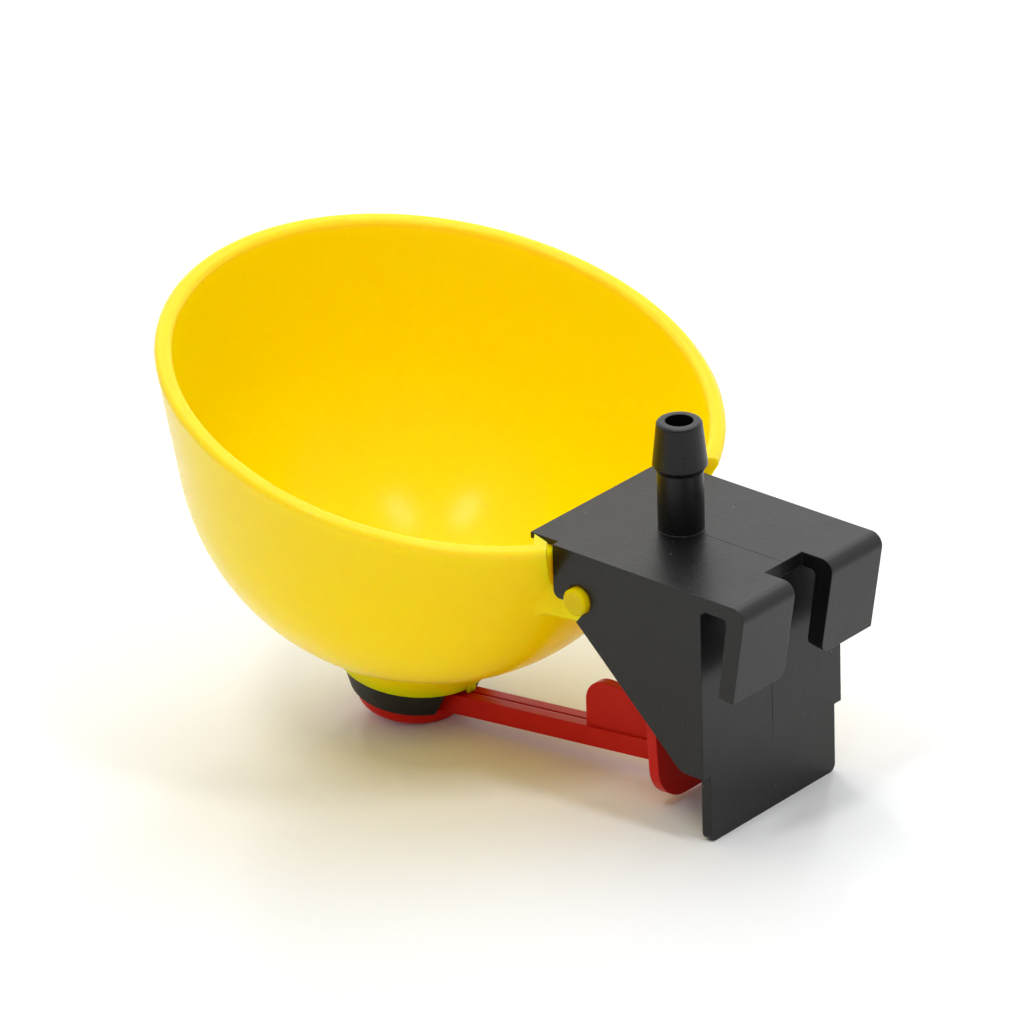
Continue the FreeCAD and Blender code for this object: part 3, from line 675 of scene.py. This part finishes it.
def camera_matrix(stage):
    """Camera turned by its azimuth, elevation and roll, and moved until the origin falls where it should."""
    azimuth, elevation = stage.camera_azimuth, stage.camera_elevation
    back = Vector((
        math.sin(azimuth) * math.cos(elevation), -math.cos(azimuth) * math.cos(elevation), math.sin(elevation)
    ))
    level_right = Vector((0, 0, 1)).cross(back).normalized()
    level_up = back.cross(level_right)
    cosine, sine = math.cos(stage.camera_roll), math.sin(stage.camera_roll)
    right = cosine * level_right + sine * level_up
    up = cosine * level_up - sine * level_right
    # the photograph was measured from the bracket's top face
    datum = Vector((0, 0, PLATE_TOP))
    place = datum - stage.camera_right * right - stage.camera_up * up + stage.camera_distance * back
    turned = Matrix((right, up, back)).transposed().to_4x4()
    return Matrix.Translation(place) @ turned


class CUP_OT_stage(Operator):
    """Set the floor, the lights and the camera"""

    bl_idname = "cup.stage"
    bl_label = "Stage"

    def execute(self, context):
        scene = context.scene
        stage = scene.cup_stage
        scene.view_settings.view_transform = "Standard"
        self.floor(stage)
        view = camera_matrix(stage)
        back = view.to_3x3().col[2]
        away = Vector((-back.x, -back.y, 0)).normalized()
        self.tent(scene, stage, away)
        self.lights(stage, away)
        camera = bpy.data.objects.new("camera", bpy.data.cameras.new("camera"))
        camera.data.sensor_width = 36
        camera.data.sensor_fit = "HORIZONTAL"
        camera.data.lens = stage.camera_lens
        camera.data.clip_start = 0.05
        camera.matrix_world = view
        scene.collection.objects.link(camera)
        scene.camera = camera
        return {"FINISHED"}

    def floor(self, stage):
        """A wide level of paper on which the cup stands."""
        reach = stage.floor_size
        slope = standing_slope()
        corners = [
            (x * reach, y * reach, BRACKET_LOW[2] - slope * x * reach)
            for x, y in ((-1, -1), (1, -1), (1, 1), (-1, 1))
        ]
        mesh = bpy.data.meshes.new("floor")
        mesh.from_pydata(corners, [], [(0, 1, 2, 3)])
        floor = bpy.data.objects.new("floor", mesh)
        bpy.context.scene.collection.objects.link(floor)
        shader = Shader("floor_paper", tuple(stage.floor_colour))
        shader.finish(Base_Color=tuple(stage.floor_colour), Roughness=0.75, Specular_IOR_Level=0.2)
        # far from the cup the camera sees plain white, with no horizon
        distance = shader.node(
            "ShaderNodeVectorMath", {"operation": "LENGTH"}, shader.place, output="Value"
        )
        far = shader.ramp(distance, stage.floor_lit, 2 * stage.floor_lit)
        seen = shader.node("ShaderNodeLightPath", output="Is Camera Ray")
        paper = Wire(shader, shader.surface.outputs["BSDF"])
        white = shader.node("ShaderNodeEmission")
        mixed = shader.node("ShaderNodeMixShader", None, far * seen, paper, white)
        shader.feed(shader.tree.nodes["Material Output"].inputs["Surface"], mixed)
        mesh.materials.append(shader.material)

    def tent(self, scene, stage, away):
        """A white light tent with soft light from all round, and a bright far side in reflections."""
        scene.world = bpy.data.worlds.new("light_tent")
        scene.world.use_nodes = True
        tent = Nodes(scene.world.node_tree)
        direction = tent.node("ShaderNodeTexCoord", output="Generated")

        def turned(toward):
            """How far a ray turns toward a direction, from -1 to 1."""
            return tent.node(
                "ShaderNodeVectorMath", {"operation": "DOT_PRODUCT"}, direction, toward, output="Value"
            )

        light = tent.ramp(turned((0, 0, 1)), *TOP_TURN, stage.room_low, stage.room_high)
        shine = tent.ramp(turned(away), *SHINE_TURN, SHINE_NEAR * stage.room_shine, stage.room_shine)
        glossy = tent.node("ShaderNodeLightPath", output="Is Glossy Ray")
        strength = tent.node("ShaderNodeMix", Factor=glossy, A=light, B=shine)
        # the camera sees plain white
        strength = tent.node("ShaderNodeMix", Factor=glossy.other("Is Camera Ray"), A=strength, B=1.0)
        background = tent.tree.nodes["Background"]
        tent.feed(background.inputs["Color"], (1, 1, 1))
        tent.feed(background.inputs["Strength"], strength)

    def lights(self, stage, away):
        """A large light and two strips overhead, and two low lights behind the cup."""
        middle = (Vector(CAD_BOX[0]) + Vector(CAD_BOX[1])) / 2
        up = Vector((0, 0, 1))
        aside = away.cross(up)
        soft_light("overhead", middle + Vector(OVERHEAD_PLACE), middle, OVERHEAD_SIZE, stage.top_light)
        for name, hand in (("left", -1), ("right", 1)):
            right, ahead, height = STRIP_PLACE
            place = middle + hand * right * aside + ahead * away + height * up
            soft_light("strip_" + name, place, middle, STRIP_SIZE, stage.strip_light)
            right, ahead, height = REAR_PLACE
            place = middle + hand * right * aside + ahead * away + height * up
            rear = soft_light("rear_" + name, place, middle, REAR_SIZE, stage.back_light)
            rear.visible_glossy = False


class CUP_PT_panel(Panel):
    """Builds the cup's finishes and stage"""

    bl_idname = "CUP_PT_panel"
    bl_label = "Drinking cup"
    bl_space_type = "VIEW_3D"
    bl_region_type = "UI"
    bl_category = "Cup"

    def draw(self, context):
        layout = self.layout
        for operator in OPERATORS:
            layout.operator(operator.bl_idname)
        for name, group in PROPERTY_GROUPS.items():
            box = layout.box()
            box.label(text=group.__doc__)
            for key in group.__annotations__:
                box.prop(getattr(context.scene, name), key)


OPERATORS = (CUP_OT_bowl, CUP_OT_bracket, CUP_OT_lever, CUP_OT_rubber, CUP_OT_spring, CUP_OT_stage)
CLASSES = (*PROPERTY_GROUPS.values(), *OPERATORS, CUP_PT_panel)


def register():
    for item in CLASSES:
        bpy.utils.register_class(item)
    for name, group in PROPERTY_GROUPS.items():
        setattr(bpy.types.Scene, name, PointerProperty(type=group))


def unregister():
    for name in PROPERTY_GROUPS:
        delattr(bpy.types.Scene, name)
    for item in reversed(CLASSES):
        bpy.utils.unregister_class(item)


def main():
    register()
    bpy.ops.cup.stage()
    bpy.ops.cup.bowl()
    bpy.ops.cup.bracket()
    bpy.ops.cup.lever()
    bpy.ops.cup.rubber()
    bpy.ops.cup.spring()


if __name__ == "__main__":
    main()
